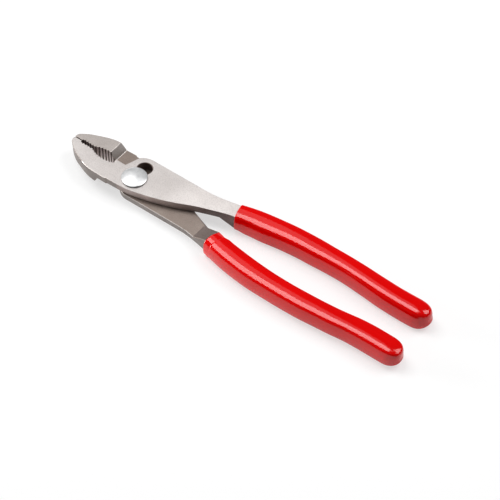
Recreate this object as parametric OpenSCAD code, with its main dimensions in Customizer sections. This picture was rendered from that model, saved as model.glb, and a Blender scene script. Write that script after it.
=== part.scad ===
// Slip joint pliers: two forged halves on a two-position pivot, with dipped grips on the handles.
// The pivot axis is at x = y = 0, the tool lies on z = 0 and its handles run along +X.
// Both halves are one forging. It is drawn with its long axis on y = 0 and its joint face on z = 0,
// the jaw towards -Y and the handle towards +Y, and the lower half is the same shape turned over.

/* [Halves] */
// Pivot axis to the tip of the nose
jaw_reach = 51; // [49:0.5:56]
// Pivot axis to the rear end of the upper grip
handle_reach = 198.5; // [180:0.5:220]
// Thickness of each half at the joint
half_thick = 6; // [5.4:0.1:7]
// Clearance between the two halves at the joint face
joint_gap = 0.1; // [0.06:0.02:0.2]

/* [Jaws] */
// Parting line to the outer edge of a jaw at its widest
jaw_w = 15.8; // [14:0.1:18]
// Width of a jaw's blunt tip
nose_w = 2.3; // [1.5:0.1:4]
// Length of the fine-toothed flat at the nose
nose_len = 7; // [5:0.5:9]
// Pitch of the fine teeth
fine_pitch = 1.4; // [1:0.1:2]
// Depth of the fine teeth
fine_depth = 0.4; // [0.2:0.05:0.6]
// Depth of the small rod grip behind the nose
rod_depth = 1.5; // [0.8:0.1:2]
// Pivot axis to the middle of the pipe grip
pipe_x = 25.4; // [24:0.1:27]
// Radius of the pipe grip
pipe_r = 13.5; // [12:0.1:16]
// Depth of the pipe grip below the parting line
pipe_depth = 4.1; // [3:0.1:5]
// Pitch of the coarse teeth
tooth_pitch = 1.8; // [1.4:0.1:2.6]
// Depth of the coarse teeth
tooth_depth = 0.9; // [0.4:0.1:1.2]
// Pivot axis to the inner end of the coarse teeth
teeth_end_x = 18.1; // [16:0.1:20]
// Pivot axis to the foot of the ramp under a jaw
ramp_foot_x = 22; // [21:0.1:23]
// Length of the ramp under a jaw
jaw_ramp = 3.1; // [2:0.1:5]
// Clearance between the closed jaws
jaw_gap = 0.3; // [0.1:0.05:0.6]

/* [Hub and neck] */
// Pivot axis to the corner of the throat
throat_x = 11.2; // [9:0.1:13]
// How far the throat's shear edge laps past the parting line
throat_lap = 0.4; // [0.1:0.1:0.8]
// Step in the outer edge where the jaw meets the hub
hub_jog = 0.6; // [0:0.1:1.2]
// Long axis to the outer edge of the neck
neck_w = 13.2; // [11:0.1:15]
// How far the neck's outer wall stands out at the joint face
neck_flare = 1.5; // [0:0.1:2]
// Width of the bevel along the neck's inner edge at the joint face
neck_relief = 1.6; // [1.4:0.1:2]
// Height of that bevel
relief_h = 0.6; // [0.5:0.1:1]
// Pivot axis to the start of the ramp under a handle
handle_ramp_x = 52; // [50:0.5:56]

/* [Pivot] */
// Distance between the two pivot positions
slot_pitch = 9.8; // [9:0.1:10.6]
// Diameter of the pivot bolt's shank
shank_d = 9.76; // [9:0.02:10.4]
// Radial clearance of the shank in its holes
shank_clear = 0.05; // [0.02:0.01:0.09]
// Width across the shank's two flats
flats_w = 6.4; // [5:0.1:7.4]
// Clearance beside each flat in the neck of the slot
flats_clear = 0.15; // [0.05:0.05:0.3]
// Diameter of the bolt's head
head_d = 16; // [14:0.1:18]
// Height of the straight rim of the head
head_rim = 1; // [0.6:0.1:2]
// Height of the dome on the head
head_dome = 1.6; // [1:0.1:2.6]
// Diameter of the bolt's threaded end
thread_d = 7; // [5:0.1:8]
// Clearance between the thread and the nut
thread_clear = 0.04; // [0.02:0.01:0.1]
// Diameter of the nut
nut_d = 13; // [12:0.1:15]
// Height of the nut
nut_h = 3; // [2:0.1:3.6]
// How far the nut stands out of the lower half
nut_proud = 0.8; // [0.2:0.1:1.2]
// Clearance round and above the nut in its counterbore
nut_clear = 0.15; // [0.05:0.05:0.3]
// Chamfer on the nut's lower edge
nut_chamfer = 0.4; // [0.1:0.1:0.6]
// Diameter of the nut's two spanner holes
spanner_hole_d = 1.6; // [1:0.1:2]
// Depth of the spanner holes
spanner_hole_depth = 1.4; // [0.6:0.1:1.6]

/* [Handles and grips] */
// Pivot axis to the front edge of a grip
grip_x = 65.5; // [62:0.5:72]
// Width of a steel handle inside its grip
handle_w = 9.8; // [8:0.1:12]
// Long axis to the middle of a handle where it bows out most
handle_bow = 18.6; // [16:0.1:22]
// Thickness of the dipped coating
coat = 1.5; // [1:0.1:2]
// Play between the coating and the steel
coat_play = 0.03; // [0.01:0.01:0.1]
// Radius along the edges of a grip
grip_round = 3; // [2:0.1:4]
// How much lower a grip is at its very end than along its length
end_drop = 3; // [1:0.1:4]
// How much further the lower grip's coating runs on past its handle
lower_tip = 2.6; // [0:0.1:4]

/* [Hidden] */

// Roundness of cylinders, stretches per smooth curve and per corner, and the overrun of every cut
$fn = 72;
curve_steps = 4;
corner_steps = 4;
end_steps = 8;
end_turn = 84;
overrun = 1;

// Heights: the grips and the nut rest on z = 0, and the handles' middle is level with the joint face
joint_z = half_thick + nut_proud;
head_z = joint_z + half_thick + joint_gap;
axis_y = slot_pitch / 2;
grip_half_w = handle_w / 2 + coat;
grip_half_h = joint_z;
handle_half_h = grip_half_h - coat;
hole_r = shank_d / 2 + shank_clear;
counterbore_depth = nut_h - nut_proud + nut_clear;
spanner_hole_x = (thread_d + nut_d) / 4;

// Width of a jaw's far face as a share of its own face
jaw_far_share = 0.84;
// Outer edge of a jaw from the nose to the hub: shares of the reach and of the width
jaw_edge_shares = [
    [0.97, 0.29], [0.873, 0.53], [0.775, 0.69], [0.68, 0.832], [0.58, 0.935], [0.45, 0.985], [0.286, 1]
];
// Rear edge of the hub, from the throat to the neck: shares of the throat's distance and the neck's width
hub_edge_shares = [[0.86, 0.36], [0.73, 0.7], [0.62, 0.82], [0.4, 0.93], [0.1, 0.995]];
// Outer edge of the neck: shares of the way to the grip and of the neck's width
neck_edge_shares = [[0.06, 1], [0.31, 1], [0.66, 1.01], [0.83, 1.12]];
// How much of the flare each of those points takes, for the hub's and the neck's points
hub_flare_shares = [0, 0, 0.2, 0.6, 1];
neck_flare_shares = [1, 1, 1, 0.9];
// Inner edge from the hub to the grip: shares of the way along and of the way across, and of the relief
cross_shares = [
    [0.006, 0.022, 0], [0.16, 0.114, 0], [0.31, 0.24, 0], [0.465, 0.41, 0], [0.617, 0.62, 0.3],
    [0.77, 0.797, 1], [0.92, 0.953, 0.3]
];
// Middle line of a handle: shares of the gripped length and of the bow
handle_shares = [
    [0, 0.664], [0.1, 0.823], [0.25, 0.957], [0.4, 1], [0.55, 0.985], [0.7, 0.922], [0.85, 0.862]
];
// Where the top of the neck starts to fall towards the thickness under the grip: share of the way there
top_fall_share = 0.5;
// Largest radius along a grip's edges over the square steel inside: share of the coating's thickness
coat_round_share = 3;
// Smooth curves through hand-placed points

function place(p, i) = p[min(max(i, 0), len(p) - 1)];

function curve_point(p, i, t) =
    let (a = place(p, i - 1), b = place(p, i), c = place(p, i + 1), d = place(p, i + 2))
    b + (c - a) * t / 2 + (2 * a - 5 * b + 4 * c - d) * t * t / 2 + (3 * b - 3 * c + d - a) * t * t * t / 2;

function curve(p) = [
    for (i = [0 : len(p) - 2], k = [0 : curve_steps - 1]) curve_point(p, i, k / curve_steps),
    p[len(p) - 1]
];

function reverse(p) = [for (i = [len(p) - 1 : -1 : 0]) p[i]];

// Middle line of a handle and the edges beside it

handle_end_x = handle_reach - grip_half_w;
handle_len = handle_end_x - grip_x;
handle_line = curve(concat(
    [for (s = handle_shares) [grip_x + s[0] * handle_len, s[1] * handle_bow]],
    [[handle_end_x, handle_shares[len(handle_shares) - 1][1] * handle_bow]]
));
handle_last = len(handle_line) - 1;

function unit(v) = v / norm(v);
function heading(i) = unit(place(handle_line, i + 1) - place(handle_line, i - 1));
function left(v) = [-v[1], v[0]];

// Edge of a handle at a given distance to the left of its middle line
function handle_edge(off) = [for (i = [0 : handle_last]) handle_line[i] + off * left(heading(i))];

// Half round end of a handle of a given half width, from its left edge to its right edge
function handle_tip(r) = [
    for (k = [1 : end_steps - 1])
        let (a = 90 - 180 * k / end_steps, h = heading(handle_last))
        handle_line[handle_last] + r * (cos(a) * h + sin(a) * left(h))
];

// Gripping edge of a jaw, from the nose to the inner end of the coarse teeth

parting_y = -jaw_gap / 2;
nose_end_x = -jaw_reach + nose_len;
pipe_y = pipe_r - pipe_depth;
pipe_start = -acos((pipe_y - parting_y) / pipe_r);
pipe_end = asin((pipe_x - teeth_end_x) / pipe_r);
pipe_start_x = -pipe_x + pipe_r * sin(pipe_start);
rod_half = (pipe_start_x - nose_end_x - fine_pitch) / 2;
rod_r = (rod_half * rod_half + rod_depth * rod_depth) / (2 * rod_depth);
rod_span = asin(rod_half / rod_r);
fine_count = floor(nose_len / fine_pitch);
rod_count = max(1, floor(2 * rod_half / tooth_pitch));
pipe_count = floor((pipe_end - pipe_start) * PI / 180 * pipe_r / tooth_pitch);

function flat_teeth() = [
    for (i = [0 : 2 * fine_count - 1])
        [-jaw_reach + nose_len * i / (2 * fine_count), parting_y - (i % 2) * fine_depth]
];

// Teeth round an arc about a centre: their tips are on radius r and their roots are cut deeper
function arc_teeth(centre, r, a0, a1, count, depth) = [
    for (i = [0 : 2 * count])
        let (a = a0 + (a1 - a0) * i / (2 * count), rr = r + (i % 2) * depth)
        centre + rr * [sin(a), -cos(a)]
];

function gripping_edge() = concat(
    flat_teeth(),
    arc_teeth([nose_end_x + rod_half, parting_y - rod_depth + rod_r], rod_r, -rod_span, rod_span,
        rod_count, fine_depth),
    arc_teeth([-pipe_x, pipe_y], pipe_r, pipe_start, pipe_end, pipe_count, tooth_depth)
);

// Outline of the forging at one level: 1 is its own face, 0 the joint face and -1 the far face

bevel_level = relief_h / half_thick;
levels = [-1, -bevel_level, 0, bevel_level, 1];

function jaw_share(level) = jaw_far_share + (1 - jaw_far_share) * (1 + level) / 2;
function flare(level) = neck_flare * (1 - abs(level));
function relief(level) = level == 0 || level == -bevel_level ? neck_relief : 0;

hub_front_w = jaw_w - hub_jog;
hub_front_x = -jaw_edge_shares[len(jaw_edge_shares) - 1][0] * jaw_reach + hub_jog;
inner_start = handle_line[0] - handle_w / 2 * left(heading(0));

function hub_edge(level) = [
    for (i = [0 : len(hub_edge_shares) - 1])
        let (s = hub_edge_shares[i])
        [-s[0] * throat_x, s[1] * neck_w + hub_flare_shares[i] * flare(level)]
];

function neck_edge(level) = [
    for (i = [0 : len(neck_edge_shares) - 1])
        let (s = neck_edge_shares[i])
        [s[0] * grip_x, s[1] * neck_w + neck_flare_shares[i] * flare(level)]
];

function cross_edge(level) = [
    for (s = cross_shares)
        [s[0] * inner_start[0],
         -hub_front_w * jaw_share(level) * (1 - s[1]) + inner_start[1] * s[1] + s[2] * relief(level)]
];

function jaw_edge(level) = [
    for (s = jaw_edge_shares) [-s[0] * jaw_reach, -s[1] * jaw_w * jaw_share(level)]
];

// Rear row of the outline: teeth, throat, hub, neck, outer edge of the handle and half of its tip
function rear_row(level) =
    let (
        outer = handle_edge(handle_w / 2),
        tip = handle_tip(handle_w / 2),
        back = curve(concat([[-throat_x, throat_lap]], hub_edge(level), neck_edge(level), [outer[0]]))
    )
    concat(
        gripping_edge(), [[-teeth_end_x + throat_lap, throat_lap]], back,
        [for (i = [1 : handle_last]) outer[i]], [for (k = [0 : end_steps / 2 - 1]) tip[k]]
    );

// Front row of the outline: jaw, hub, neck, inner edge of the handle and the rest of its tip
function front_row(level) =
    let (
        inner = handle_edge(-handle_w / 2),
        tip = handle_tip(handle_w / 2),
        jaw = curve(concat([[-jaw_reach, parting_y - nose_w * jaw_share(level)]], jaw_edge(level))),
        front = curve(concat(
            [[hub_front_x, -hub_front_w * jaw_share(level)]], cross_edge(level), [inner[0]]
        ))
    )
    concat(
        jaw, front, [for (i = [1 : handle_last]) inner[i]],
        [for (k = [end_steps - 2 : -1 : end_steps / 2]) tip[k]]
    );

// Triangles that fill the flat face between two rows of points which both run towards +X,
// numbered along the first row and back along the second
function face_strip(a, b, i = 0, j = 0) =
    let (
        corner = len(a) + len(b) - 1 - j,
        last_a = i == len(a) - 1,
        last_b = j == len(b) - 1
    )
    last_a && last_b ? [] :
    last_b || (!last_a && a[i + 1][0] <= b[j + 1][0])
        ? concat([[i, i + 1, corner]], face_strip(a, b, i + 1, j))
        : concat([[i, corner - 1, corner]], face_strip(a, b, i, j + 1));

// Solid through rings of equally many points, each clockwise seen from the side of the last ring.
// The ends are filled with the listed faces of a ring.
module skin(rings, ends) {
    count = len(rings[0]);
    last = len(rings) - 1;
    polyhedron(
        points = [for (ring = rings, p = ring) p],
        faces = concat(
            [for (face = ends) reverse(face)],
            [for (face = ends) [for (i = face) last * count + i]],
            [for (k = [0 : last - 1], i = [0 : count - 1])
                [k * count + i, k * count + (i + 1) % count, (k + 1) * count + i]],
            [for (k = [0 : last - 1], i = [0 : count - 1])
                [k * count + (i + 1) % count, (k + 1) * count + (i + 1) % count, (k + 1) * count + i]]
        )
    );
}

// Profile in X and Z, carried across the whole width of the tool
module across(profile) {
    width = handle_reach;
    translate([0, width / 2, 0])
        rotate([90, 0, 0])
            linear_extrude(width)
                polygon(profile);
}

// Side view of the ramp under a handle, an arc that leaves the joint face smoothly and ends at the grip
ramp_h = handle_half_h + joint_gap / 2;
ramp_len = grip_x - handle_ramp_x;
ramp_r = (ramp_len * ramp_len + ramp_h * ramp_h) / (2 * ramp_h);
ramp_turn = asin(ramp_len / ramp_r);

function handle_ramp() = [
    for (k = [0 : end_steps])
        let (a = ramp_turn * k / end_steps)
        [handle_ramp_x + ramp_r * sin(a), joint_gap / 2 - ramp_r * (1 - cos(a))]
];

// Material below the joint face that is milled away between the jaw and the handle
module joint_pocket() {
    floor_z = -half_thick - overrun;
    across(concat(
        [[-ramp_foot_x - jaw_ramp * (half_thick + overrun) / half_thick, floor_z]],
        [[-ramp_foot_x, joint_gap / 2]],
        handle_ramp(),
        [[handle_reach, -handle_half_h], [handle_reach, floor_z]]
    ));
}

// Material above the handle, which falls from the full thickness to the thickness under the grip
module top_fall() {
    sky_z = half_thick + overrun;
    across([
        [top_fall_share * grip_x, half_thick], [grip_x, handle_half_h], [handle_reach, handle_half_h],
        [handle_reach, sky_z], [top_fall_share * grip_x, sky_z]
    ]);
}

module forging() {
    difference() {
        skin(
            [for (level = levels)
                [for (p = concat(rear_row(level), reverse(front_row(level)))) [p[0], p[1], level * half_thick]]],
            face_strip(rear_row(1), front_row(1))
        );
        joint_pocket();
        top_fall();
    }
}

// Places a half on the tool's long axis at the height of the joint
module at_joint() {
    translate([0, axis_y, joint_z])
        children();
}

module pivot_hole(y) {
    translate([0, y, -half_thick - overrun])
        cylinder(h = 2 * (half_thick + overrun), r = hole_r);
}

module upper_half() {
    waist_w = flats_w + 2 * flats_clear;
    color([0.80, 0.78, 0.76])
        at_joint()
            difference() {
                forging();
                pivot_hole(-axis_y);
                pivot_hole(axis_y);
                translate([-waist_w / 2, -axis_y, -overrun])
                    cube([waist_w, slot_pitch, half_thick + 2 * overrun]);
            }
}

module lower_half() {
    color([0.70, 0.67, 0.64])
        at_joint()
            rotate([180, 0, 0])
                difference() {
                    forging();
                    pivot_hole(axis_y);
                    translate([0, axis_y, half_thick - counterbore_depth])
                        cylinder(h = counterbore_depth + overrun, r = nut_d / 2 + nut_clear);
                }
}

// Domed head, shank with two flats inside the upper half's slot, and threaded end
module pivot_bolt() {
    dome_r = (head_d * head_d / 4 + head_dome * head_dome) / (2 * head_dome);
    color([0.90, 0.90, 0.92]) {
        intersection() {
            translate([0, 0, head_z])
                cylinder(h = head_rim + head_dome, r = head_d / 2);
            translate([0, 0, head_z + head_rim + head_dome - dome_r])
                sphere(r = dome_r);
        }
        intersection() {
            translate([0, 0, joint_z])
                cylinder(h = head_z - joint_z, r = shank_d / 2);
            translate([-flats_w / 2, -shank_d, joint_z])
                cube([flats_w, 2 * shank_d, head_z - joint_z]);
        }
        translate([0, 0, nut_h])
            cylinder(h = joint_z - nut_h, r = shank_d / 2);
        cylinder(h = nut_h, r = thread_d / 2);
    }
}

// Round nut with two spanner holes, flush with the end of the thread
module pivot_nut() {
    bore_r = thread_d / 2 + thread_clear;
    rim_r = nut_d / 2;
    color([0.62, 0.61, 0.60])
        difference() {
            rotate_extrude()
                polygon([
                    [bore_r, 0], [rim_r - nut_chamfer, 0], [rim_r, nut_chamfer], [rim_r, nut_h], [bore_r, nut_h]
                ]);
            for (side = [-1, 1])
                translate([side * spanner_hole_x, 0, -overrun])
                    cylinder(h = spanner_hole_depth + overrun, r = spanner_hole_d / 2);
        }
}

// Cross section of a grip with round corners, as points of left and up, clockwise seen from behind
function grip_section(half_w, half_h) =
    let (r = min(grip_round, half_w, half_h, coat_round_share * coat))
    [
        for (corner = [3 : -1 : 0], k = [corner_steps : -1 : 0])
            let (a = 90 * corner + 90 * k / corner_steps, out = 90 * corner + 45)
            [sign(cos(out)) * (half_w - r) + r * cos(a), sign(sin(out)) * (half_h - r) + r * sin(a)]
    ];

function grip_ring(centre, direction, half_w, half_h) = [
    for (p = grip_section(half_w, half_h))
        let (q = centre + p[0] * left(direction))
        [q[0], q[1], p[1]]
];

// Rings along the handle, then rings that close in round its end, further out where the coating runs on
function grip_rings(run_on) = concat(
    [for (i = [0 : handle_last]) grip_ring(handle_line[i], heading(i), grip_half_w, grip_half_h)],
    [
        for (k = [1 : end_steps])
            let (a = end_turn * k / end_steps, h = heading(handle_last))
            grip_ring(handle_line[handle_last] + (grip_half_w + run_on) * sin(a) * h, h,
                grip_half_w * cos(a), grip_half_h - end_drop * pow(1 - cos(a), 2))
    ]
);

// Room for the steel handle inside a grip, open at the front
module handle_room() {
    half_w = handle_w / 2 + coat_play;
    half_h = handle_half_h + coat_play;
    outer = handle_edge(half_w);
    inner = handle_edge(-half_w);
    forward = overrun * heading(0);
    translate([0, 0, -half_h])
        linear_extrude(2 * half_h)
            polygon(concat(
                [outer[0] - forward], outer, handle_tip(half_w), reverse(inner), [inner[0] - forward]
            ));
}

module grip_shell(run_on) {
    difference() {
        skin(grip_rings(run_on), [[for (i = [0 : 4 * corner_steps + 3]) i]]);
        handle_room();
    }
}

module upper_grip() {
    color([0.86, 0.02, 0.03])
        at_joint()
            grip_shell(0);
}

module lower_grip() {
    color([0.86, 0.02, 0.03])
        at_joint()
            rotate([180, 0, 0])
                grip_shell(lower_tip);
}

upper_half();
lower_half();
pivot_bolt();
pivot_nut();
upper_grip();
lower_grip();
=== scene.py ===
"""Slip joint pliers: the looks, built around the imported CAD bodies.

Lengths are in millimetres until a mesh is made.
"""
import math

import bmesh
import bpy
import numpy as np
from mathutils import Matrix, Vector


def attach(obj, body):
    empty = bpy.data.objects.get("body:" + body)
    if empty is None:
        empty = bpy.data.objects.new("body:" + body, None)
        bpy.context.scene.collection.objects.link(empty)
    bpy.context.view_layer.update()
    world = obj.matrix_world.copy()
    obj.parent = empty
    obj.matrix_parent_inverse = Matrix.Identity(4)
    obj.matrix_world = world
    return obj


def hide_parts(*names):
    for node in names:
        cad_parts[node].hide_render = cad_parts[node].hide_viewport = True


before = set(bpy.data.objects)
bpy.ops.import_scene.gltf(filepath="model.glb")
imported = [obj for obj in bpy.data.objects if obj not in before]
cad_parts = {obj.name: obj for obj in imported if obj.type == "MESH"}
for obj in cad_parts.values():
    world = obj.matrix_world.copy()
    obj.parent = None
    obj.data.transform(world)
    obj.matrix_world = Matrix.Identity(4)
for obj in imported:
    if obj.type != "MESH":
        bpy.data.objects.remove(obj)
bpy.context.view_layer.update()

MM = 0.001

# The same sizes as the CAD source
JAW_REACH, HANDLE_REACH, HALF_THICK, JOINT_GAP = 51.0, 198.5, 6.0, 0.1
JAW_W, NOSE_W, TEETH_END_X, RAMP_FOOT_X, JAW_RAMP = 15.8, 2.3, 18.1, 22.0, 3.1
THROAT_X, THROAT_LAP, HUB_JOG = 11.2, 0.4, 0.6
NECK_W, NECK_FLARE, NECK_RELIEF, RELIEF_H = 13.2, 1.5, 1.6, 0.6
HANDLE_RAMP_X, GRIP_X, HANDLE_W, HANDLE_BOW = 52.0, 65.5, 9.8, 18.6
SLOT_PITCH, SHANK_D, SHANK_CLEAR, FLATS_W, FLATS_CLEAR = 9.8, 9.76, 0.05, 6.4, 0.15
HEAD_D, HEAD_RIM, HEAD_DOME = 16.0, 1.0, 1.6
THREAD_D, NUT_D, NUT_H, NUT_PROUD, NUT_CLEAR = 7.0, 13.0, 3.0, 0.8, 0.15
COAT, COAT_PLAY, LOWER_TIP = 1.5, 0.03, 2.6
JAW_FAR_SHARE, TOP_FALL_SHARE = 0.84, 0.5

# Jaw sizes that follow the photograph more closely than the CAD source does
JAW_GAP, NOSE_LEN, FIRST_TOOTH = 0.6, 5.7, 0.3
TOOTH_PITCH, TOOTH_DEPTH, TIP_SHARE = 2.15, 0.8, 0.58
PIPE_X, PIPE_START_X = 25.8, 35.9

# A handle's ramp starts later than in the CAD source, so that the halves stay clear when they slip
RAMP_DELAY = 1.2
RAMP_START_X = HANDLE_RAMP_X + RAMP_DELAY

JOINT_Z = HALF_THICK + NUT_PROUD
HEAD_Z = JOINT_Z + HALF_THICK + JOINT_GAP
AXIS_Y = SLOT_PITCH / 2
GRIP_HALF_W = HANDLE_W / 2 + COAT
GRIP_HALF_H = JOINT_Z
HANDLE_HALF_H = GRIP_HALF_H - COAT

# Outline points, given as shares of a length, of a width and of any flare or relief
JAW_EDGE = [(0.97, 0.29), (0.873, 0.53), (0.775, 0.69), (0.68, 0.832), (0.58, 0.935), (0.45, 0.985),
            (0.286, 1)]
HUB_EDGE = [(0.86, 0.36, 0), (0.73, 0.7, 0), (0.62, 0.82, 0.2), (0.4, 0.93, 0.6), (0.1, 0.995, 1)]
NECK_EDGE = [(0.06, 1, 1), (0.31, 1, 1), (0.66, 1.01, 1), (0.83, 1.12, 0.9)]
CROSS = [(0.006, 0.022, 0), (0.16, 0.114, 0), (0.31, 0.24, 0), (0.465, 0.41, 0), (0.617, 0.62, 0.3),
         (0.77, 0.797, 1), (0.92, 0.953, 0.3)]
HANDLE = [(0, 0.664), (0.1, 0.823), (0.25, 0.957), (0.4, 1), (0.55, 0.985), (0.7, 0.922), (0.85, 0.862)]


def curve(points, steps=8):
    """Smooth line through given points."""
    p = np.asarray(points, float)
    out = []
    for i in range(len(p) - 1):
        a, b, c, d = p[max(i - 1, 0)], p[i], p[i + 1], p[min(i + 2, len(p) - 1)]
        for k in range(steps):
            t = k / steps
            out.append(b + (c - a) * t / 2 + (2 * a - 5 * b + 4 * c - d) * t**2 / 2
                       + (3 * b - 3 * c + d - a) * t**3 / 2)
    return np.array(out + [p[-1]])


def smooth_step(x, lo, hi):
    """0 up to lo, 1 from hi on, and a soft rise between them."""
    t = np.clip((np.asarray(x, float) - lo) / (hi - lo), 0, 1)
    return t * t * (3 - 2 * t)


# Middle line of a handle, in a half's own frame

handle_end_x = HANDLE_REACH - GRIP_HALF_W
handle_len = handle_end_x - GRIP_X
handle_points = [(GRIP_X + s * handle_len, b * HANDLE_BOW) for s, b in HANDLE]
handle_points.append((handle_end_x, HANDLE[-1][1] * HANDLE_BOW))


def lefts(line):
    """Directions to the left of a line, at each of its points."""
    tangent = np.gradient(line, axis=0)
    tangent /= np.linalg.norm(tangent, axis=1)[:, None]
    return np.c_[-tangent[:, 1], tangent[:, 0]]


handle_line = curve(handle_points)
left = lefts(handle_line)


def handle_edge(off):
    """Line beside a handle's middle line, a distance to its left."""
    return handle_line + off * left


# Outline of a half at a level: 1 is its own face, 0 the joint face, -1 the far face

BEVEL_LEVEL = RELIEF_H / HALF_THICK
LEVELS = (-1, -BEVEL_LEVEL, 0, BEVEL_LEVEL, 1)
parting_y = -JAW_GAP / 2
nose_end_x = -JAW_REACH + NOSE_LEN


class Bite:
    """Gripping edge of a jaw: a plain nose, then a shallow rod grip and an arched pipe grip, toothed."""

    def __init__(self, rod_front, rod_back, pipe_depth, pipe_r):
        self.rod_front, self.rod_back = rod_front, rod_back
        self.pipe_depth, self.pipe_r = pipe_depth, pipe_r

    def recess(self, x):
        """Depth behind the flat of the nose."""
        if x < nose_end_x:
            return 0.0
        along = (x - nose_end_x) / (-PIPE_START_X - nose_end_x)
        rod = self.rod_front + (self.rod_back - self.rod_front) * along
        pipe = self.pipe_depth - self.pipe_r + math.sqrt(self.pipe_r**2 - (x + PIPE_X) ** 2)
        return max(rod, pipe) if x < -PIPE_X else pipe

    def edge(self):
        """Flat tips and pointed grooves by turns, from the nose to the inner end of the pipe grip."""
        points = [(-JAW_REACH, parting_y), (nose_end_x, parting_y)]
        start, end = nose_end_x + FIRST_TOOTH, -TEETH_END_X
        count = round((end - start) / TOOTH_PITCH)
        pitch = (end - start) / count
        for i in range(count):
            x = start + i * pitch
            for part, depth in ((0, 0), (TIP_SHARE, 0), ((1 + TIP_SHARE) / 2, TOOTH_DEPTH)):
                points.append((x + part * pitch, parting_y - self.recess(x + part * pitch) - depth))
        return points + [(end, parting_y - self.recess(end))]


UPPER_BITE = Bite(rod_front=1.1, rod_back=1.0, pipe_depth=3.7, pipe_r=20.0)
LOWER_BITE = Bite(rod_front=0.8, rod_back=0.3, pipe_depth=2.6, pipe_r=22.0)


def rows(level, bite):
    """Rear and front edge of a half at a level, both running towards +X."""
    share = JAW_FAR_SHARE + (1 - JAW_FAR_SHARE) * (1 + level) / 2
    flare = NECK_FLARE * (1 - abs(level))
    relief = NECK_RELIEF if level in (0, -BEVEL_LEVEL) else 0
    outer, inner = handle_edge(HANDLE_W / 2), handle_edge(-HANDLE_W / 2)
    hub = [(-s * THROAT_X, w * NECK_W + f * flare) for s, w, f in HUB_EDGE]
    neck = [(s * GRIP_X, w * NECK_W + f * flare) for s, w, f in NECK_EDGE]
    back = curve([(-THROAT_X, THROAT_LAP)] + hub + neck + [tuple(outer[0])])
    rear = np.vstack([bite.edge(), [(-TEETH_END_X + THROAT_LAP, THROAT_LAP)], back, outer[1:]])
    hub_w, hub_x = (JAW_W - HUB_JOG) * share, -JAW_EDGE[-1][0] * JAW_REACH + HUB_JOG
    jaw = curve([(-JAW_REACH, parting_y - NOSE_W * share)]
                + [(-s * JAW_REACH, -w * JAW_W * share) for s, w in JAW_EDGE])
    cross = [(s * inner[0][0], -hub_w * (1 - w) + inner[0][1] * w + r * relief) for s, w, r in CROSS]
    front = np.vstack([jaw, curve([(hub_x, -hub_w)] + cross + [tuple(inner[0])]), inner[1:]])
    return rear, front


TIE_STEP = 1e-7
HANDLE_SHORT = 4.0
END_X = handle_end_x - HANDLE_SHORT


def rising(x):
    """Places along X that never fall back, with ties pulled apart."""
    return np.maximum.accumulate(np.asarray(x) + TIE_STEP * np.arange(len(x)))


def edge_y(outline, side, x, z):
    """y of the rear (0) or front (1) edge at x and at a height z over the joint face."""
    ys = [np.interp(x, rising(outline[lv][side][:, 0]), outline[lv][side][:, 1]) for lv in LEVELS]
    return float(np.interp(z / HALF_THICK, LEVELS, ys))


# Side view of a half: the joint pocket below and the slightly falling top

ramp_h = HANDLE_HALF_H + JOINT_GAP / 2
ramp_len = GRIP_X - RAMP_START_X


def low_z(x):
    """Height of a half's lower side over the joint face: jaw, jaw ramp, level pocket and handle ramp."""
    floor_z = JOINT_GAP / 2
    if x < -RAMP_FOOT_X:
        return max(-HALF_THICK, floor_z - (HALF_THICK + floor_z) * (-RAMP_FOOT_X - x) / JAW_RAMP)
    if x > RAMP_START_X:
        run = min(x - RAMP_START_X, ramp_len)
        return floor_z - ramp_h * run / ramp_len
    return floor_z


def high_z(x):
    """Height of a half's upper side over the joint face, which falls a little towards the grip."""
    start = TOP_FALL_SHARE * GRIP_X
    return HALF_THICK + (HANDLE_HALF_H - HALF_THICK) * min(max((x - start) / (GRIP_X - start), 0), 1)


ROUND_X, ROUND_STEPS, LAST_WEIGHT = 0.35, 9, 0.001


def rounded(f, x):
    """A side view's line with its corners eased, as a mean over places near x."""
    t = np.linspace(-1, 1, ROUND_STEPS)
    weight = 1 - np.abs(t) * (1 - LAST_WEIGHT)
    return float(np.sum([f(x + ROUND_X * k) * w for k, w in zip(t, weight)]) / weight.sum())


def new_mesh_object(name, verts, faces, materials, indices=None, smooth=True):
    """A mesh object in the scene, with the index of a material for each face."""
    mesh = bpy.data.meshes.new(name)
    mesh.from_pydata([tuple(v) for v in verts], [], [tuple(f) for f in faces])
    for m in materials:
        mesh.materials.append(m)
    if indices is not None:
        mesh.polygons.foreach_set("material_index", list(indices))
    mesh.polygons.foreach_set("use_smooth", [smooth] * len(mesh.polygons))
    mesh.update()
    obj = bpy.data.objects.new(name, mesh)
    bpy.context.scene.collection.objects.link(obj)
    return obj


def ring_faces(k, m, count):
    """Faces between the rings k and m, which have count points each."""
    return [(k * count + i, k * count + (i + 1) % count, m * count + (i + 1) % count, m * count + i)
            for i in range(count)]


def ring_cap(k, count):
    return tuple(range(k * count, (k + 1) * count))


def weld(obj, distance=2e-6):
    """Joins points that coincide and turns all faces outwards."""
    bm = bmesh.new()
    bm.from_mesh(obj.data)
    bmesh.ops.remove_doubles(bm, verts=bm.verts, dist=distance)
    bmesh.ops.dissolve_degenerate(bm, edges=bm.edges, dist=distance)
    bmesh.ops.recalc_face_normals(bm, faces=bm.faces)
    bm.to_mesh(obj.data)
    bm.free()


def sharpen(obj, angle, weight=80):
    """Keeps edges sharper than an angle in degrees crisp, and large faces flat."""
    obj.data.set_sharp_from_angle(angle=math.radians(angle))
    weighted = obj.modifiers.new("weighted", "WEIGHTED_NORMAL")
    weighted.keep_sharp = True
    weighted.weight = weight


# Materials

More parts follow.
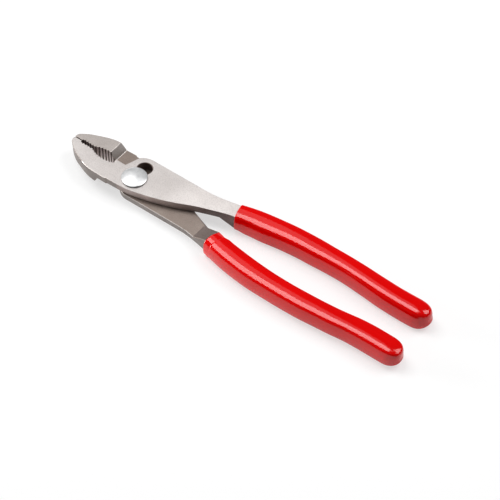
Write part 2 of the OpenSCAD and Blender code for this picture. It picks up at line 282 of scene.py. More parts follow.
WHITE, STREAK, PIT = (1.0, 1.0, 1.0), (0.80, 0.79, 0.78), (0.86, 0.855, 0.85)
RED_DARK, RED_LIGHT, RED_RUN = (0.76, 0.0, 0.0), (0.83, 0.001, 0.001), (0.88, 0.88, 0.88)
# Painted shade round the pivot, where the halves overlap: its colour, its reach in millimetres and the
# shares of that reach over which it fades
PIVOT_SHADE, PIVOT_SHADE_R, PIVOT_SHADE_FROM, PIVOT_SHADE_TO = (0.3, 0.26, 0.24), 13.0, 0.6, 0.9

# Values of a noise between which a colour or a roughness drifts, and sockets of a colour mix
NOISE_LOW, NOISE_HIGH = 0.3, 0.7
MIX_FACTOR, MIX_A, MIX_B, MIX_RESULT = 0, 6, 7, 2

# Steel: how finely each noise is set along X, Y and Z, where pits fade, and how strong each effect is
LINE_SCALE, FINE_SCALE, SPECK_SCALE = (900, 9000, 900), (2500, 2500, 2500), (1500, 1500, 1500)
PIT_LOW, PIT_HIGH, PIT_SHARE = 0.36, 0.56, 0.9
STEEL_SWING, FINE_STRENGTH = 0.07, 0.10
SMUDGE_SCALE, SMUDGE_SWING, SMUDGE_STRENGTH = (300, 300, 300), 0.04, 0.01

# Vinyl: the same for its slow drift and for the runs along a grip
DRIFT_SCALE, RUN_SCALE = (25, 60, 60), (8, 260, 260)
RUN_HIGH, RUN_SHARE, RUN_STRENGTH = 0.75, 0.6, 0.02
VINYL_ROUGH, VINYL_SWING, VINYL_SPECULAR = 0.10, 0.02, 0.5

# Depths of bumps, in metres
GRAIN_DEPTH, SMUDGE_DEPTH, RUN_DEPTH = 0.00005, 0.0002, 0.0006


class Nodes:
    """Shorthand for building a material's node tree."""

    def __init__(self, name):
        self.material = bpy.data.materials.new(name)
        self.material.use_nodes = True
        self.tree = self.material.node_tree
        self.tree.nodes.clear()
        self.out = self.add("ShaderNodeOutputMaterial")
        self.shader = self.add("ShaderNodeBsdfPrincipled")
        self.link(self.shader, "BSDF", self.out, "Surface")

    def add(self, kind, **values):
        node = self.tree.nodes.new(kind)
        for key, value in values.items():
            setattr(node, key, value)
        return node

    def link(self, a, a_socket, b, b_socket):
        self.tree.links.new(a.outputs[a_socket], b.inputs[b_socket])

    def coords(self, scale=(1, 1, 1), turn=(0, 0, 0)):
        source = self.add("ShaderNodeTexCoord")
        mapping = self.add("ShaderNodeMapping")
        mapping.inputs["Scale"].default_value = scale
        mapping.inputs["Rotation"].default_value = [math.radians(a) for a in turn]
        self.link(source, "Object", mapping, "Vector")
        return mapping

    def noise(self, vector, scale, detail=3.0, roughness=0.6):
        node = self.add("ShaderNodeTexNoise")
        node.inputs["Scale"].default_value = scale
        node.inputs["Detail"].default_value = detail
        node.inputs["Roughness"].default_value = roughness
        self.link(vector, "Vector", node, "Vector")
        return node

    def ramp(self, source, socket, stops):
        node = self.add("ShaderNodeValToRGB")
        elements = node.color_ramp.elements
        while len(elements) < len(stops):
            elements.new(0.5)
        for element, (position, colour) in zip(elements, stops):
            element.position = position
            element.color = (*colour, 1)
        self.link(source, socket, node, "Fac")
        return node

    def span(self, source, socket, lo, hi, to_lo, to_hi):
        node = self.add("ShaderNodeMapRange")
        for key, value in (("From Min", lo), ("From Max", hi), ("To Min", to_lo), ("To Max", to_hi)):
            node.inputs[key].default_value = value
        self.link(source, socket, node, "Value")
        return node

    def tones(self, source, dark, light):
        """Colour that drifts from dark to light with a noise."""
        return self.ramp(source, "Fac", [(NOISE_LOW, dark), (NOISE_HIGH, light)])

    def rough_by(self, source, middle, swing):
        """Roughness that drifts about a middle value with a noise."""
        roughness = self.span(source, "Fac", NOISE_LOW, NOISE_HIGH, middle - swing, middle + swing)
        self.link(roughness, "Result", self.shader, "Roughness")

    def multiply(self, a, b, factor):
        """Product of two (node, socket) colours, weakened by a factor, as a (node, socket)."""
        node = self.add("ShaderNodeMix", data_type="RGBA", blend_type="MULTIPLY")
        self.link(*a, node, MIX_A)
        self.link(*b, node, MIX_B)
        node.inputs[MIX_FACTOR].default_value = factor
        return node, MIX_RESULT

    def from_pivot(self, reach):
        """Distance from the middle of the bolt's slot, seen from above, as a share of a reach."""
        source = self.add("ShaderNodeTexCoord")
        offset = self.add("ShaderNodeVectorMath", operation="SUBTRACT")
        offset.inputs[1].default_value = (0, SLOT_PITCH / 2 * MM, 0)
        self.link(source, "Object", offset, 0)
        flat = self.add("ShaderNodeVectorMath", operation="MULTIPLY")
        flat.inputs[1].default_value = (1 / (reach * MM), 1 / (reach * MM), 0)
        self.link(offset, 0, flat, 0)
        length = self.add("ShaderNodeVectorMath", operation="LENGTH")
        self.link(flat, 0, length, 0)
        return length

    def along_x(self, stops):
        """Grey that follows (x, share) stops, with x in millimetres."""
        source = self.add("ShaderNodeTexCoord")
        split = self.add("ShaderNodeSeparateXYZ")
        self.link(source, "Object", split, "Vector")
        first, last = stops[0][0], stops[-1][0]
        place = self.span(split, "X", first * MM, last * MM, 0, 1)
        shares = [((x - first) / (last - first), (share,) * 3) for x, share in stops]
        return self.ramp(place, "Result", shares)

    def bump(self, source, socket, strength, distance, normal=None):
        node = self.add("ShaderNodeBump")
        node.inputs["Strength"].default_value = strength
        node.inputs["Distance"].default_value = distance
        self.link(source, socket, node, "Height")
        if normal:
            self.link(normal, "Normal", node, "Normal")
        return node


def steel(name, dark, light, rough, turn, grain=0.25, metallic=1.0, blotch=60.0, pivot_shade=False, shade_along_x=None):
    """Satin steel: colour that drifts in soft blotches, with fine grinding lines at a turn off X."""
    n = Nodes(name)
    soft = n.noise(n.coords(), blotch, detail=4.0)
    lines = n.noise(n.coords(LINE_SCALE, (0, 0, turn)), 1.0, detail=2.0, roughness=0.5)
    fine = n.noise(n.coords(FINE_SCALE), 1.0, roughness=0.7)
    specks = n.noise(n.coords(SPECK_SCALE), 1.0, detail=2.0)
    colour = n.tones(soft, dark, light)
    streak = n.tones(lines, STREAK, WHITE)
    pits = n.ramp(specks, "Fac", [(PIT_LOW, PIT), (PIT_HIGH, WHITE)])
    finish = n.multiply((colour, "Color"), (streak, "Color"), grain * 2)
    finish = n.multiply(finish, (pits, "Color"), PIT_SHARE)
    # Painted shade that darkens the surface towards the pivot
    if pivot_shade:
        shade = n.ramp(n.from_pivot(PIVOT_SHADE_R), "Value", [(PIVOT_SHADE_FROM, PIVOT_SHADE), (PIVOT_SHADE_TO, WHITE)])
        finish = n.multiply(finish, (shade, "Color"), 1.0)
    # Painted shade that changes along X
    if shade_along_x:
        finish = n.multiply(finish, (n.along_x(shade_along_x), "Color"), 1.0)
    n.link(*finish, n.shader, "Base Color")
    n.shader.inputs["Metallic"].default_value = metallic
    n.rough_by(lines, rough, STEEL_SWING)
    fine_bump = n.bump(fine, "Fac", FINE_STRENGTH, GRAIN_DEPTH)
    line_bump = n.bump(lines, "Fac", grain, GRAIN_DEPTH, fine_bump)
    n.link(line_bump, "Normal", n.shader, "Normal")
    return n.material


# The ground top carries painted shade that lifts towards the grip, fading out between x = 5 and 40 mm.
ground = steel("ground_steel", (0.75, 0.70, 0.68), (0.857, 0.81, 0.788), rough=0.50, turn=35,
               shade_along_x=((5, 0.84), (20, 0.89), (40, 1.0)))
jaw_far = steel("jaw_steel", (0.48, 0.435, 0.41), (0.56, 0.515, 0.49), rough=0.50, turn=60)
# The joint face carries painted shade round the pivot.
facet = steel("milled_steel", (0.27, 0.215, 0.185), (0.34, 0.28, 0.245), rough=0.60, turn=-50,
              metallic=0.5, pivot_shade=True)
ramp_steel = steel("ramp_steel", (0.34, 0.275, 0.25), (0.41, 0.34, 0.315), rough=0.50, turn=10)
forged = steel("forged_steel", (0.22, 0.185, 0.17), (0.33, 0.29, 0.27), rough=0.46, turn=0,
               grain=0.2, blotch=120.0)
# The neck wall carries painted shade: darker at the hub, clear from 15 to 25 mm, then deepening towards the
# grip.
scale_steel = steel("scale_steel", (0.49, 0.385, 0.355), (0.64, 0.52, 0.485), rough=0.55, turn=0,
                    grain=0.2, metallic=0.4, blotch=120.0,
                    shade_along_x=((-6, 0.6), (15, 1.0), (25, 1.0), (35, 0.78), (45, 0.55), (56, 0.33)))
edge_steel = steel("edge_steel", (0.72, 0.66, 0.63), (0.80, 0.75, 0.72), rough=0.42, turn=20)
tooth_steel = steel("tooth_steel", (0.74, 0.65, 0.63), (0.84, 0.75, 0.73), rough=0.5, turn=0)
# Dark walls of the bolt's slot: painted shade inside the hole.
hole_shade_steel = steel("hole_shade_steel", (0.15, 0.10, 0.085), (0.21, 0.15, 0.13), rough=0.6, turn=0, metallic=0.2)
# Dark steel for the grooves between teeth and the nose's flat: painted shade in the creases of the jaws.
groove_shade_steel = steel("groove_shade_steel", (0.12, 0.09, 0.08), (0.17, 0.13, 0.12), rough=0.6, turn=0,
                     metallic=0.5)
nut_steel = steel("nut_steel", (0.50, 0.48, 0.46), (0.60, 0.58, 0.56), rough=0.36, turn=0)
HALF_MATERIALS = [ground, jaw_far, facet, ramp_steel, forged, scale_steel, edge_steel, tooth_steel,
                  groove_shade_steel]
GROUND, JAW_FAR, FACET, RAMP, FORGED, SCALE, EDGE, TOOTH, GROOVE_SHADE = range(len(HALF_MATERIALS))


def turned_steel(name, dark, light, rough, metallic=1.0):
    """Bright turned steel with soft smudges."""
    n = Nodes(name)
    smudges = n.noise(n.coords(SMUDGE_SCALE), 1.0)
    n.link(n.tones(smudges, dark, light), "Color", n.shader, "Base Color")
    n.shader.inputs["Metallic"].default_value = metallic
    n.rough_by(smudges, rough, SMUDGE_SWING)
    n.link(n.bump(smudges, "Fac", SMUDGE_STRENGTH, SMUDGE_DEPTH), "Normal", n.shader, "Normal")
    return n.material


def vinyl():
    """Glossy red coating: colour that drifts slowly, with faint runs along the grip."""
    n = Nodes("dipped_vinyl")
    drift = n.noise(n.coords(DRIFT_SCALE), 1.0)
    runs = n.noise(n.coords(RUN_SCALE), 1.0, detail=2.0)
    colour = n.tones(drift, RED_DARK, RED_LIGHT)
    streak = n.ramp(runs, "Fac", [(NOISE_LOW, RED_RUN), (RUN_HIGH, WHITE)])
    finish = n.multiply((colour, "Color"), (streak, "Color"), RUN_SHARE)
    n.link(*finish, n.shader, "Base Color")
    n.rough_by(drift, VINYL_ROUGH, VINYL_SWING)
    n.shader.inputs["Specular IOR Level"].default_value = VINYL_SPECULAR
    n.link(n.bump(runs, "Fac", RUN_STRENGTH, RUN_DEPTH), "Normal", n.shader, "Normal")
    return n.material


# Darker copy of the bolt's steel for the side of its head: painted shade.
rim_shade_material = turned_steel("bolt_rim_shade", (0.36, 0.36, 0.36), (0.46, 0.46, 0.46), rough=0.36)
bolt_material = turned_steel("polished_bolt", (0.68, 0.685, 0.69), (0.86, 0.865, 0.87), rough=0.42,
                             metallic=0.6)
grip_material = vinyl()

# The two halves

# Bevels of the teeth and of the other edges, and what the handle's edges gain inside the grip
TOOTH_BEVEL, EDGE_BEVEL, HANDLE_BEVEL = 0.12, 0.3, 1.5
TOOTH_BEVEL_X, HANDLE_BEVEL_START, HANDLE_BEVEL_END = -TEETH_END_X + 0.6, GRIP_X + 1, GRIP_X + 8
BEVEL_TURNS = np.radians((30, 60, 90))

# Rings that round the tip of the nose: how far inside its section, and how far behind the tip
NOSE_ROUND = 0.55
NOSE_RINGS = ((NOSE_ROUND, 0.0), (0.2, 0.12), (0.0, 0.5))

# Where one finish or painted shade gives way to the next, and the least run that a slope is measured over
NOSE_BLEND_X, BRIGHT_EDGE_X, SCALE_START_X = -34.0, -8.0, -6.0
TOOTH_TINT_X = -TEETH_END_X + 0.5
STEP_CORNERS = (-RAMP_FOOT_X - JAW_RAMP, -RAMP_FOOT_X)
STEP_EDGE_W, GROOVE_SLOPE, LEAST_RUN = 0.28, 0.6, 1e-6

# Least distance of two sections, and how far the close ones at a corner spread, in rounding lengths
STATION_GAP, STATION_SPREAD = 0.02, 1.4


def stations(outline):
    """Places of a half's sections along X: all outline points, and close ones at the side view's corners."""
    xs = set()
    for rear, front in outline.values():
        xs.update(np.round(rising(rear[:, 0]), 4))
        xs.update(np.round(rising(front[:, 0]), 4))
    spread = np.linspace(-STATION_SPREAD, STATION_SPREAD, ROUND_STEPS)
    for corner in (*STEP_CORNERS, RAMP_START_X, GRIP_X):
        xs.update(np.round(corner + spread * ROUND_X, 4))
    xs = np.array(sorted(x for x in xs if -JAW_REACH <= x <= END_X))
    keep = [xs[0]]
    for x in xs[1:]:
        if x - keep[-1] > STATION_GAP:
            keep.append(x)
    return keep


def half_ring(outline, x, inset=0.0):
    """Points round a half's section at x, with the role of the face that follows each point."""
    lo, hi = rounded(low_z, x) + inset, rounded(high_z, x) - inset
    points, roles = [], []
    for side in (1, 0):
        inward = 1 if side == 1 else -1
        bevel = EDGE_BEVEL + HANDLE_BEVEL * float(smooth_step(x, HANDLE_BEVEL_START, HANDLE_BEVEL_END))
        if side == 0 and x < TOOTH_BEVEL_X:
            bevel = TOOTH_BEVEL
        base, brim = lo + bevel, hi - bevel
        levels = [base] + [min(max(s * RELIEF_H, base), brim) for s in (-1, 0, 1)] + [brim]
        wall = [(edge_y(outline, side, x, z) + inward * inset, z) for z in levels]
        top = [(wall[-1][0] + inward * bevel * (1 - math.cos(a)), brim + bevel * math.sin(a))
               for a in BEVEL_TURNS]
        low = [(wall[0][0] + inward * bevel * (1 - math.cos(a)), base - bevel * math.sin(a))
               for a in BEVEL_TURNS[::-1]]
        column = low + wall + top
        names = ["low_edge"] * len(low) + ["wall"] * (len(wall) - 1) + ["top_edge"] * len(top)
        if side == 1:
            points += column
            roles += names + ["top"]
        else:
            points += column[::-1]
            roles += names[::-1] + ["low"]
    return [(x, y, z) for y, z in points], roles


def face_material(role, side, x, slope):
    """Finish of a face, or painted shade in a groove or at the nose, by its role in the section, its side (1
    is the front), its place and its slope.
    """
    if role == "top":
        return GROUND
    if role == "low":
        if any(abs(x - corner) < STEP_EDGE_W for corner in STEP_CORNERS):
            return EDGE
        if x < -RAMP_FOOT_X:
            return JAW_FAR
        return FACET if x < RAMP_START_X else RAMP
    if role == "top_edge":
        if side == 1 and x < NOSE_BLEND_X:
            return FORGED
        return EDGE if side == 1 and x < BRIGHT_EDGE_X else GROUND
    if role == "low_edge":
        return JAW_FAR if side == 0 and BRIGHT_EDGE_X < x < RAMP_START_X else FACET
    # The teeth's steep flanks and the nose's flat take painted shade.
    if side == 0 and x < TOOTH_TINT_X:
        return GROOVE_SHADE if x < nose_end_x or abs(slope) > GROOVE_SLOPE else TOOTH
    return SCALE if side == 1 and x > SCALE_START_X else FORGED


def half(name, turned):
    """A forged half: its section carried along X. The lower half is turned over and has its own bite."""
    outline = {level: rows(level, LOWER_BITE if turned else UPPER_BITE) for level in LEVELS}
    xs = stations(outline)
    roles = half_ring(outline, xs[0])[1]
    rings = [[(x + back, y, z) for x, y, z in half_ring(outline, xs[0], inset)[0]]
             for inset, back in NOSE_RINGS]
    rings += [half_ring(outline, x)[0] for x in xs if x > xs[0] + NOSE_ROUND]
    count, last, way = len(roles), len(rings) - 1, -1 if turned else 1
    verts = [(x * MM, (AXIS_Y + way * y) * MM, (JOINT_Z + way * z) * MM)
             for ring in rings for x, y, z in ring]
    faces, indices = [], []
    for k, (ring, after) in enumerate(zip(rings, rings[1:])):
        x = (ring[0][0] + after[0][0]) / 2
        faces += ring_faces(k, k + 1, count)
        for i, role in enumerate(roles):
            slope = (after[i][1] - ring[i][1]) / max(after[i][0] - ring[i][0], LEAST_RUN)
            indices.append(face_material(role, 1 if i < count // 2 else 0, x, slope))
    faces += [ring_cap(0, count), ring_cap(last, count)[::-1]]
    indices += [FORGED, FORGED]
    obj = new_mesh_object(name, verts, faces, HALF_MATERIALS, indices)
    weld(obj)
    return obj


def ring_solid(name, rings, material):
    """A closed solid through a stack of rings, each a list of points."""
    count, last = len(rings[0]), len(rings) - 1
    verts = [(x * MM, y * MM, z * MM) for ring in rings for x, y, z in ring]
    faces = [face for k in range(last) for face in ring_faces(k, k + 1, count)]
    faces += [ring_cap(0, count), ring_cap(last, count)[::-1]]
    obj = new_mesh_object(name, verts, faces, [material])
    weld(obj)
    return obj


def carve(obj, tool):
    """Cuts the tool out of obj and removes the tool."""
    modifier = obj.modifiers.new("cut", "BOOLEAN")
    modifier.operation = "DIFFERENCE"
    modifier.solver = "EXACT"
    modifier.material_mode = "TRANSFER"
    modifier.object = tool
    bpy.context.view_layer.update()
    evaluated = obj.evaluated_get(bpy.context.evaluated_depsgraph_get())
    mesh = bpy.data.meshes.new_from_object(evaluated)
    obj.modifiers.clear()
    obj.data = mesh
    bpy.data.objects.remove(tool)


def slot_outline(grow=0.0, steps=20):
    """The bolt's slot seen from above: two holes joined by a waist."""
    r, w = SHANK_D / 2 + SHANK_CLEAR + grow, FLATS_W / 2 + FLATS_CLEAR + grow
    start = math.asin(w / r)
    points = []
    for centre, turn in ((SLOT_PITCH, 90), (0, 270)):
        for a in np.linspace(-(math.pi - start), math.pi - start, 2 * steps):
            t = math.radians(turn) + a
            points.append((r * math.cos(t), centre + r * math.sin(t)))
    return points


def circle(r, steps=72):
    turns = [2 * math.pi * k / steps for k in range(steps)]
    return [(r * math.cos(t), r * math.sin(t)) for t in turns]


def stacked(outline, levels):
    """Rings of an outline, one for each (size, height)."""
    return [[(x, y, z) for x, y in outline(size)] for size, z in levels]


OVERRUN, SLOT_RIM, HALF_SHARP = 1.0, 0.25, 28
top_z = JOINT_Z + HALF_THICK
hole_r, sink_r, sink_z = SHANK_D / 2 + SHANK_CLEAR, NUT_D / 2 + NUT_CLEAR, NUT_H + NUT_CLEAR
slot_levels = ((0, JOINT_Z - OVERRUN), (0, top_z - SLOT_RIM), (SLOT_RIM, top_z),
               (4 * SLOT_RIM, top_z + 3 * SLOT_RIM))
bore_levels = ((sink_r, -OVERRUN), (sink_r, sink_z), (hole_r, sink_z), (hole_r, JOINT_Z + OVERRUN))

upper = half("upper_half_steel", False)
carve(upper, ring_solid("slot_cut", stacked(slot_outline, slot_levels), hole_shade_steel))
lower = half("lower_half_steel", True)
carve(lower, ring_solid("bore_cut", stacked(circle, bore_levels), forged))
for obj, body, node in ((upper, "upper_arm", "upper_half"), (lower, "lower_arm", "lower_half")):
    sharpen(obj, HALF_SHARP)
    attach(obj, body)
    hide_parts(node)

# The pivot bolt and its nut

# Eased edges of the bolt, and a small length that keeps a ring or a cut from closing up
THREAD_LEAD, THREAD_END_Z = 0.5, 0.02
HEAD_EASE, RIM_EASE, RIM_IN, DOME_EASE = 0.2, 0.25, 0.08, 0.35
BOLT_STEPS, DOME_STEPS, SLIVER = 96, 24, 0.001
RIM_NORMAL, BOLT_SHARP = 0.7, 32


def bolt_ring(r):
    return circle(max(r, SLIVER), BOLT_STEPS)


def bolt_profile():
    """(radius, height) pairs from the end of the thread to the top of the dome."""
    thread_r, shank_r, head_r = THREAD_D / 2, SHANK_D / 2, HEAD_D / 2
    rim_z = HEAD_Z + HEAD_RIM
    dome_r = (head_r**2 + HEAD_DOME**2) / (2 * HEAD_DOME)
    centre = rim_z + HEAD_DOME - dome_r
    points = [(thread_r - THREAD_LEAD, THREAD_END_Z), (thread_r, THREAD_LEAD), (thread_r, NUT_H)]
    points += [(shank_r, NUT_H), (shank_r, HEAD_Z), (head_r - HEAD_EASE, HEAD_Z)]
    points += [(head_r, HEAD_Z + HEAD_EASE), (head_r, rim_z - RIM_EASE), (head_r - RIM_IN, rim_z)]
    turns = np.linspace(math.asin((head_r - DOME_EASE) / dome_r), 0, DOME_STEPS)
    return points + [(dome_r * math.sin(a), centre + dome_r * math.cos(a)) for a in turns]


bolt = ring_solid("pivot_bolt_polished", stacked(bolt_ring, bolt_profile()), bolt_material)
for side in (1, -1):
    near, far = side * FLATS_W / 2, side * HEAD_D
    corners = ((near, -HEAD_D), (far, -HEAD_D), (far, HEAD_D), (near, HEAD_D))
    rings = [[(x, y, z) for x, y in corners] for z in (JOINT_Z, HEAD_Z - SLIVER)]
    carve(bolt, ring_solid("flats_cut", rings, bolt_material))
# The side of the head and the flats take the darker copy: painted shade.
bolt.data.materials.append(rim_shade_material)
for face in bolt.data.polygons:
    if abs(face.normal.z) < RIM_NORMAL:
        face.material_index = 1
sharpen(bolt, BOLT_SHARP)
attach(bolt, "pivot")
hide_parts("pivot_bolt")

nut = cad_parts["pivot_nut"]
nut.data.materials.clear()
nut.data.materials.append(nut_steel)

# The dipped grips

# Round end of a grip: its length, its drip, how far its underside rises, and the powers that shape it
GRIP_TAPER, GRIP_DRIP, DRIP_FLARE, END_RISE = 11.5, 0.6, 0.9, 3.8
RISE_POWER, END_LONG, END_WIDE, END_STEEP = 3.5, 2.6, 2.3, 1.5

# The turn at which the crown of a grip's top ends, and how much rounder the collar's corner is
CROWN_TURN, COLLAR_CORNER_R = 19.0, 1.4

# A flank of a grip's section: corner radius and the turn at which it ends, then the same of the flank
UPPER_FLANK, UPPER_END = (1.9, 70, 19, 99), (3.3, 73, 20, 100)
LOWER_FLANK, LOWER_END = (2.5, 76, 20, 99), (2.6, 77, 20, 100)
REAR_FLANK = (1.9, 74, 26, 95)

# Extra width of each side of a grip, and how far its crest lies to the rear, by the distance from its front
UPPER_NEAR = ((0, 0.3), (20, 1.6), (50, 0.9), (82, -0.2), (104, 0.35))
UPPER_REAR = ((0, 0.45), (60, 0.45), (88, 1.0), (118, 1.5))
UPPER_CREST = ((20, 0.4), (73, 0.4), (118, 0.2))
LOWER_NEAR = ((0, 0.95), (20, 1.2), (60, 1.1), (88, 1.0), (104, 0.4))
LOWER_REAR = ((0, -1.5), (9.5, 0.9), (20, 0.9), (70, 0.1), (85, 0.05), (118, 1.5))
LOWER_CREST = ((20, -0.6), (73, -0.5), (118, -1.0))

# Where the front flank starts to change, and where both sides settle into the round end
CHANGING, SETTLING, SETTLED = 60.0, 95.0, 118.0

# The lower grip's collar, the groove behind it and the heights between which that fades in
COLLAR_START, COLLAR_END = 3.8, 5.0
GROOVE_DEPTH, GROOVE_S, GROOVE_W, GROOVE_LOW, GROOVE_HIGH = 0.6, 4.6, 0.5, 1.0, 5.0

# How far a grip's underside lifts at its front, slow waves of its sides, its front lip and the room inside
UPPER_LIFT, LOWER_LIFT, LIFT_LEN = 1.6, 0.8, 7.0
WAVE_H, WAVE_TURN, RIPPLE_H, RIPPLE_TURN = 0.06, 0.17, 0.02, 0.37
LIP_OUT = 0.4
LIP_RINGS = ((0.955, LIP_OUT), (0.987, 0.25))
ROOM_SHORT, ROOM_STEPS = 3.5, 60

# Places of the skin's sections: close ones at the front, wider ones on the handle, turns at the end
FRONT_STOPS, HANDLE_START, HANDLE_STEPS = np.linspace(0, 8, 33), 9.0, 110
END_TURNS = np.radians(np.linspace(0, 90, 46)[1:])
GRIP_SHARP = 50

# Steps of the arcs of a section, and the turn at which it looks straight down
ARC_STEPS, FLANK_STEPS, STRAIGHT_DOWN = 8, 12, 180


def eased(pairs, s):
    """Soft line through (place, height) pairs, level at each of them."""
    height = pairs[0][1]
    for (a, low), (b, high) in zip(pairs, pairs[1:]):
        height += (high - low) * float(smooth_step(s, a, b))
    return height


def bend(points, r, start, end, steps):
    """Adds an arc whose outward direction turns from start to end, in degrees off straight up."""
    turns = np.radians(np.linspace(start, end, steps + 1))
    first = np.array(points[-1]) - r * np.array([math.sin(turns[0]), math.cos(turns[0])])
    points += [tuple(first + r * np.array([math.sin(t), math.cos(t)])) for t in turns[1:]]


def grip_side(half_w, shape):
    """One side of a grip's section as (out, up) pairs: crowned top, corner, bulging flank, low corner."""
    corner_r, corner_turn, flank_r, flank_turn = shape
    crown, corner, flank = (math.radians(a) for a in (CROWN_TURN, corner_turn, flank_turn))
    corner_w = corner_r * (math.sin(corner) - math.sin(crown))
    crown_r = (half_w - corner_w - flank_r * (1 - math.sin(corner))) / math.sin(crown)
    used_h = (crown_r * (1 - math.cos(crown)) + corner_r * (math.cos(crown) - math.cos(corner))
              + flank_r * (math.cos(corner) - math.cos(flank)))
    low_r = (2 * GRIP_HALF_H - used_h) / (1 + math.cos(flank))
    side = [(0.0, GRIP_HALF_H)]
    bend(side, crown_r, 0, CROWN_TURN, ARC_STEPS)
    bend(side, corner_r, CROWN_TURN, corner_turn, ARC_STEPS)
    bend(side, flank_r, corner_turn, flank_turn, FLANK_STEPS)
    bend(side, low_r, flank_turn, STRAIGHT_DOWN, ARC_STEPS)
    return side


def whole_section(left_side, right_side):
    """Both sides as one closed section, which starts at the top."""
    return left_side + [(-p[0], *p[1:]) for p in right_side[:0:-1]]


grip_line = curve(handle_points, steps=60)
grip_left = lefts(grip_line)
walked = np.r_[0, np.cumsum(np.linalg.norm(np.diff(grip_line, axis=0), axis=1))]


def on_handle(s):
    """Point on a handle's middle line and the direction to its left, s along from the front of the grip."""
    c = np.array([np.interp(s, walked, grip_line[:, k]) for k in (0, 1)])
    n = np.array([np.interp(s, walked, grip_left[:, k]) for k in (0, 1)])
    return c, n / np.linalg.norm(n)


def skin_side(turn, half_w, stretch, shape, crest, lift, groove):
    """One side of the coating's outer skin as (out, up, ahead), swung by turn about the crest at the end."""
    long, wide = math.sin(turn) ** (2 / END_LONG), math.cos(turn) ** (2 / END_WIDE)
    below = 1 - (lift + END_RISE * long**RISE_POWER) / GRIP_HALF_H
    side, widest = [], 0.0
    for u, v in grip_side(half_w, shape):
        widest = max(widest, u)
        out = (u * stretch - groove * float(smooth_step(v, GROOVE_LOW, GROOVE_HIGH))) * wide + crest
        ahead = GRIP_TAPER - (half_w - u)
        if u >= widest:
            ahead = GRIP_TAPER * (1 - (1 - u / half_w) ** END_STEEP)
        ahead = ahead * long + DRIP_FLARE * long**2 * max(0.0, -v / GRIP_HALF_H)
        side.append((out, v * (below if v < 0 else 1), ahead))
    return side


def between(a, b, share):
    return [p + (q - p) * share for p, q in zip(a, b)]


def skin_rings(turned, run_on, near, rear, crests, front_flank, end_flank):
    """Sections of the outer skin, from the front of the grip to the tip of its drawn-out round end."""
    taper_s = walked[-1] + GRIP_HALF_W + run_on + GRIP_DRIP - GRIP_TAPER
    stops = [(s, 0.0) for s in (*FRONT_STOPS, *np.linspace(HANDLE_START, taper_s, HANDLE_STEPS))]
    stops += [(taper_s, turn) for turn in END_TURNS]
    skin = []
    for s, turn in stops:
        collar = (1 - float(smooth_step(s, COLLAR_START, COLLAR_END))) if turned else 0.0
        groove = GROOVE_DEPTH * math.exp(-(((s - GROOVE_S) / GROOVE_W) ** 2)) if turned else 0.0
        lift = (LOWER_LIFT if turned else UPPER_LIFT) * (1 - float(smooth_step(s, 0, LIFT_LEN)))
        wave = WAVE_H * math.sin(WAVE_TURN * s + run_on) + RIPPLE_H * math.sin(RIPPLE_TURN * s + 1)
        crest, settled = eased(crests, s), float(smooth_step(s, SETTLING, SETTLED))
        widths = [GRIP_HALF_W + eased(near, s) + wave + crest, GRIP_HALF_W + eased(rear, s) + wave - crest]
        sides = []
        for half_w, flank, start, way in ((widths[0], front_flank, CHANGING, -1),
                                          (widths[1], REAR_FLANK, SETTLING, 1)):
            shape = between(flank, end_flank, float(smooth_step(s, start, SETTLED)))
            shape[0] += COLLAR_CORNER_R * collar
            made_w = half_w + (sum(widths) / 2 - half_w) * settled
            sides.append(skin_side(turn, made_w, half_w / made_w, shape, way * crest, lift, groove))
        skin.append((*on_handle(s), whole_section(*(sides if turned else sides[::-1]))))
    return skin


def room_rings():
    """Sections of the room for the handle, from its inner end out to the front lip."""
    half_w, half_h = HANDLE_W / 2 + COAT_PLAY, HANDLE_HALF_H + COAT_PLAY
    side = [(min(u * 2, half_w), min(max(v * 2, -half_h), half_h), 0.0)
            for u, v in grip_side(GRIP_HALF_W, REAR_FLANK)]
    bare = whole_section(side, side)
    room = [(*on_handle(s), bare) for s in np.linspace(walked[-1] - ROOM_SHORT, 0, ROOM_STEPS)]
    return room + [(*on_handle(0), [(u, v, -LIP_OUT) for u, v, _ in bare])]


def grip(name, turned, run_on, form):
    """Dipped coating: an outer skin with a thin front lip, and a room for the handle inside."""
    skin, room = skin_rings(turned, run_on, *form), room_rings()
    lip = [(*on_handle(0), [(u * size, v * size, -out) for u, v, _ in skin[0][2]])
           for size, out in LIP_RINGS]
    skin = lip + skin
    count, way = len(room[0][2]), -1 if turned else 1
    verts = []
    for c, n, section in skin + room:
        for u, v, ahead in section:
            x, y = c + u * n + ahead * np.array([n[1], -n[0]])
            verts.append((x * MM, (AXIS_Y + way * y) * MM, (JOINT_Z + v) * MM))
    total, faces = len(skin) + len(room), []
    for k in range(total):
        if k != len(skin) - 1:
            faces += ring_faces(k, (k + 1) % total, count)
    faces.append(ring_cap(len(skin), count)[::-1])
    obj = new_mesh_object(name, verts, faces, [grip_material])
    weld(obj)
    return obj


UPPER_FORM = UPPER_NEAR, UPPER_REAR, UPPER_CREST, UPPER_FLANK, UPPER_END
LOWER_FORM = LOWER_NEAR, LOWER_REAR, LOWER_CREST, LOWER_FLANK, LOWER_END
for name, turned, run_on, form, body, node in (
        ("upper_grip_vinyl", False, 0.0, UPPER_FORM, "upper_arm", "upper_grip"),
        ("lower_grip_vinyl", True, LOWER_TIP, LOWER_FORM, "lower_arm", "lower_grip")):
    obj = grip(name, turned, run_on, form)
    obj.data.set_sharp_from_angle(angle=math.radians(GRIP_SHARP))
    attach(obj, body)
    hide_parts(node)

# Floor, light and camera

FLOOR_HALF, FLOOR_PAPER, FLOOR_GLOW = 4.0, 0.42, 0.6
FLOOR_DARK, FLOOR_LIGHT, FLOOR_ROUGH, FLOOR_SPECULAR = (0.80, 0.80, 0.80), (0.82, 0.82, 0.82), 0.9, 0.1


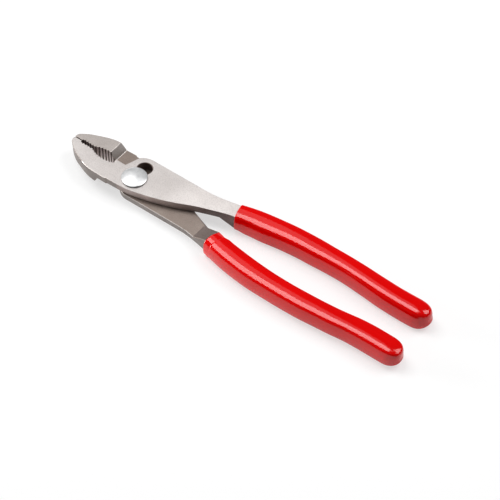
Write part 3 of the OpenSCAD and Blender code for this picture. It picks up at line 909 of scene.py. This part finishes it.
def floor_material():
    """White floor: what the camera and reflections see is lifted to white and keeps the object's shadow."""
    n = Nodes("floor_white")
    tint = n.noise(n.coords((2, 2, 2)), 1.0, detail=2.0)
    colour = n.ramp(tint, "Fac", [(0.0, FLOOR_DARK), (1.0, FLOOR_LIGHT)])
    n.link(colour, "Color", n.shader, "Base Color")
    n.shader.inputs["Roughness"].default_value = FLOOR_ROUGH
    n.shader.inputs["Specular IOR Level"].default_value = FLOOR_SPECULAR
    path = n.add("ShaderNodeLightPath")
    seen = n.add("ShaderNodeMath", operation="MAXIMUM")
    n.link(path, "Is Camera Ray", seen, 0)
    n.link(path, "Is Glossy Ray", seen, 1)
    seen_all = n.add("ShaderNodeMath", operation="MAXIMUM")
    n.link(seen, 0, seen_all, 0)
    n.link(path, "Is Transmission Ray", seen_all, 1)
    paper = n.add("ShaderNodeBsdfDiffuse")
    paper.inputs["Color"].default_value = (FLOOR_PAPER, FLOOR_PAPER, FLOOR_PAPER, 1)
    glow = n.add("ShaderNodeEmission")
    glow.inputs["Strength"].default_value = FLOOR_GLOW
    lit = n.add("ShaderNodeAddShader")
    n.link(paper, "BSDF", lit, 0)
    n.link(glow, "Emission", lit, 1)
    both = n.add("ShaderNodeMixShader")
    n.link(seen_all, 0, both, 0)
    n.link(n.shader, "BSDF", both, 1)
    n.link(lit, "Shader", both, 2)
    n.link(both, "Shader", n.out, "Surface")
    return n.material


floor = new_mesh_object("floor", [(-FLOOR_HALF, -FLOOR_HALF, 0), (FLOOR_HALF, -FLOOR_HALF, 0),
                                  (FLOOR_HALF, FLOOR_HALF, 0), (-FLOOR_HALF, FLOOR_HALF, 0)],
                        [(0, 1, 2, 3)], [floor_material()], smooth=False)


# Middle of the object in metres, and each lamp's name, direction from there, size and power
MIDDLE, LAMP_DISTANCE = Vector((0.08, 0.005, 0.006)), 1.2
LAMPS = (("key", (-0.42, 0.03, 0.92), (0.50, 0.9), 7.8),
         ("spill", (-0.39, 0.37, 0.85), (0.36, 1.3), 1.2),
         ("fill", (-0.92, -0.38, 0.12), (0.5, 0.5), 14.0),
         ("side", (0.36, 0.47, 0.80), (0.7, 0.7), 7.6))
WORLD_STRENGTH = 0.06

# The camera's place and aim in metres, and its lens and sensor in millimetres
CAMERA_PLACE, CAMERA_AIM = Vector((0.5489, -0.60361, 0.8889)), Vector((0.08301, 0.005177, 0.0008))
LENS, SENSOR_W, CLIP = 144, 36, (0.05, 20)


def lamp(name, way, size, power):
    """A soft rectangular lamp that looks at the middle of the object."""
    data = bpy.data.lights.new(name, "AREA")
    data.shape = "RECTANGLE"
    data.size, data.size_y = size
    data.energy = power
    obj = bpy.data.objects.new(name, data)
    obj.location = MIDDLE + LAMP_DISTANCE * Vector(way)
    obj.rotation_mode = "QUATERNION"
    obj.rotation_quaternion = (MIDDLE - obj.location).to_track_quat("-Z", "Y")
    bpy.context.scene.collection.objects.link(obj)


for name, way, size, power in LAMPS:
    lamp(name, way, size, power)

world = bpy.data.worlds.new("studio")
world.use_nodes = True
world.node_tree.nodes["Background"].inputs["Color"].default_value = (1, 1, 1, 1)
world.node_tree.nodes["Background"].inputs["Strength"].default_value = WORLD_STRENGTH
bpy.context.scene.world = world

camera_data = bpy.data.cameras.new("camera")
camera_data.sensor_width = SENSOR_W
camera_data.lens = LENS
camera_data.clip_start, camera_data.clip_end = CLIP
camera = bpy.data.objects.new("camera", camera_data)
camera.location = CAMERA_PLACE
camera.rotation_mode = "QUATERNION"
camera.rotation_quaternion = (CAMERA_AIM - CAMERA_PLACE).to_track_quat("-Z", "Y")
bpy.context.scene.collection.objects.link(camera)
bpy.context.scene.camera = camera

bpy.context.scene.view_settings.view_transform = "Standard"
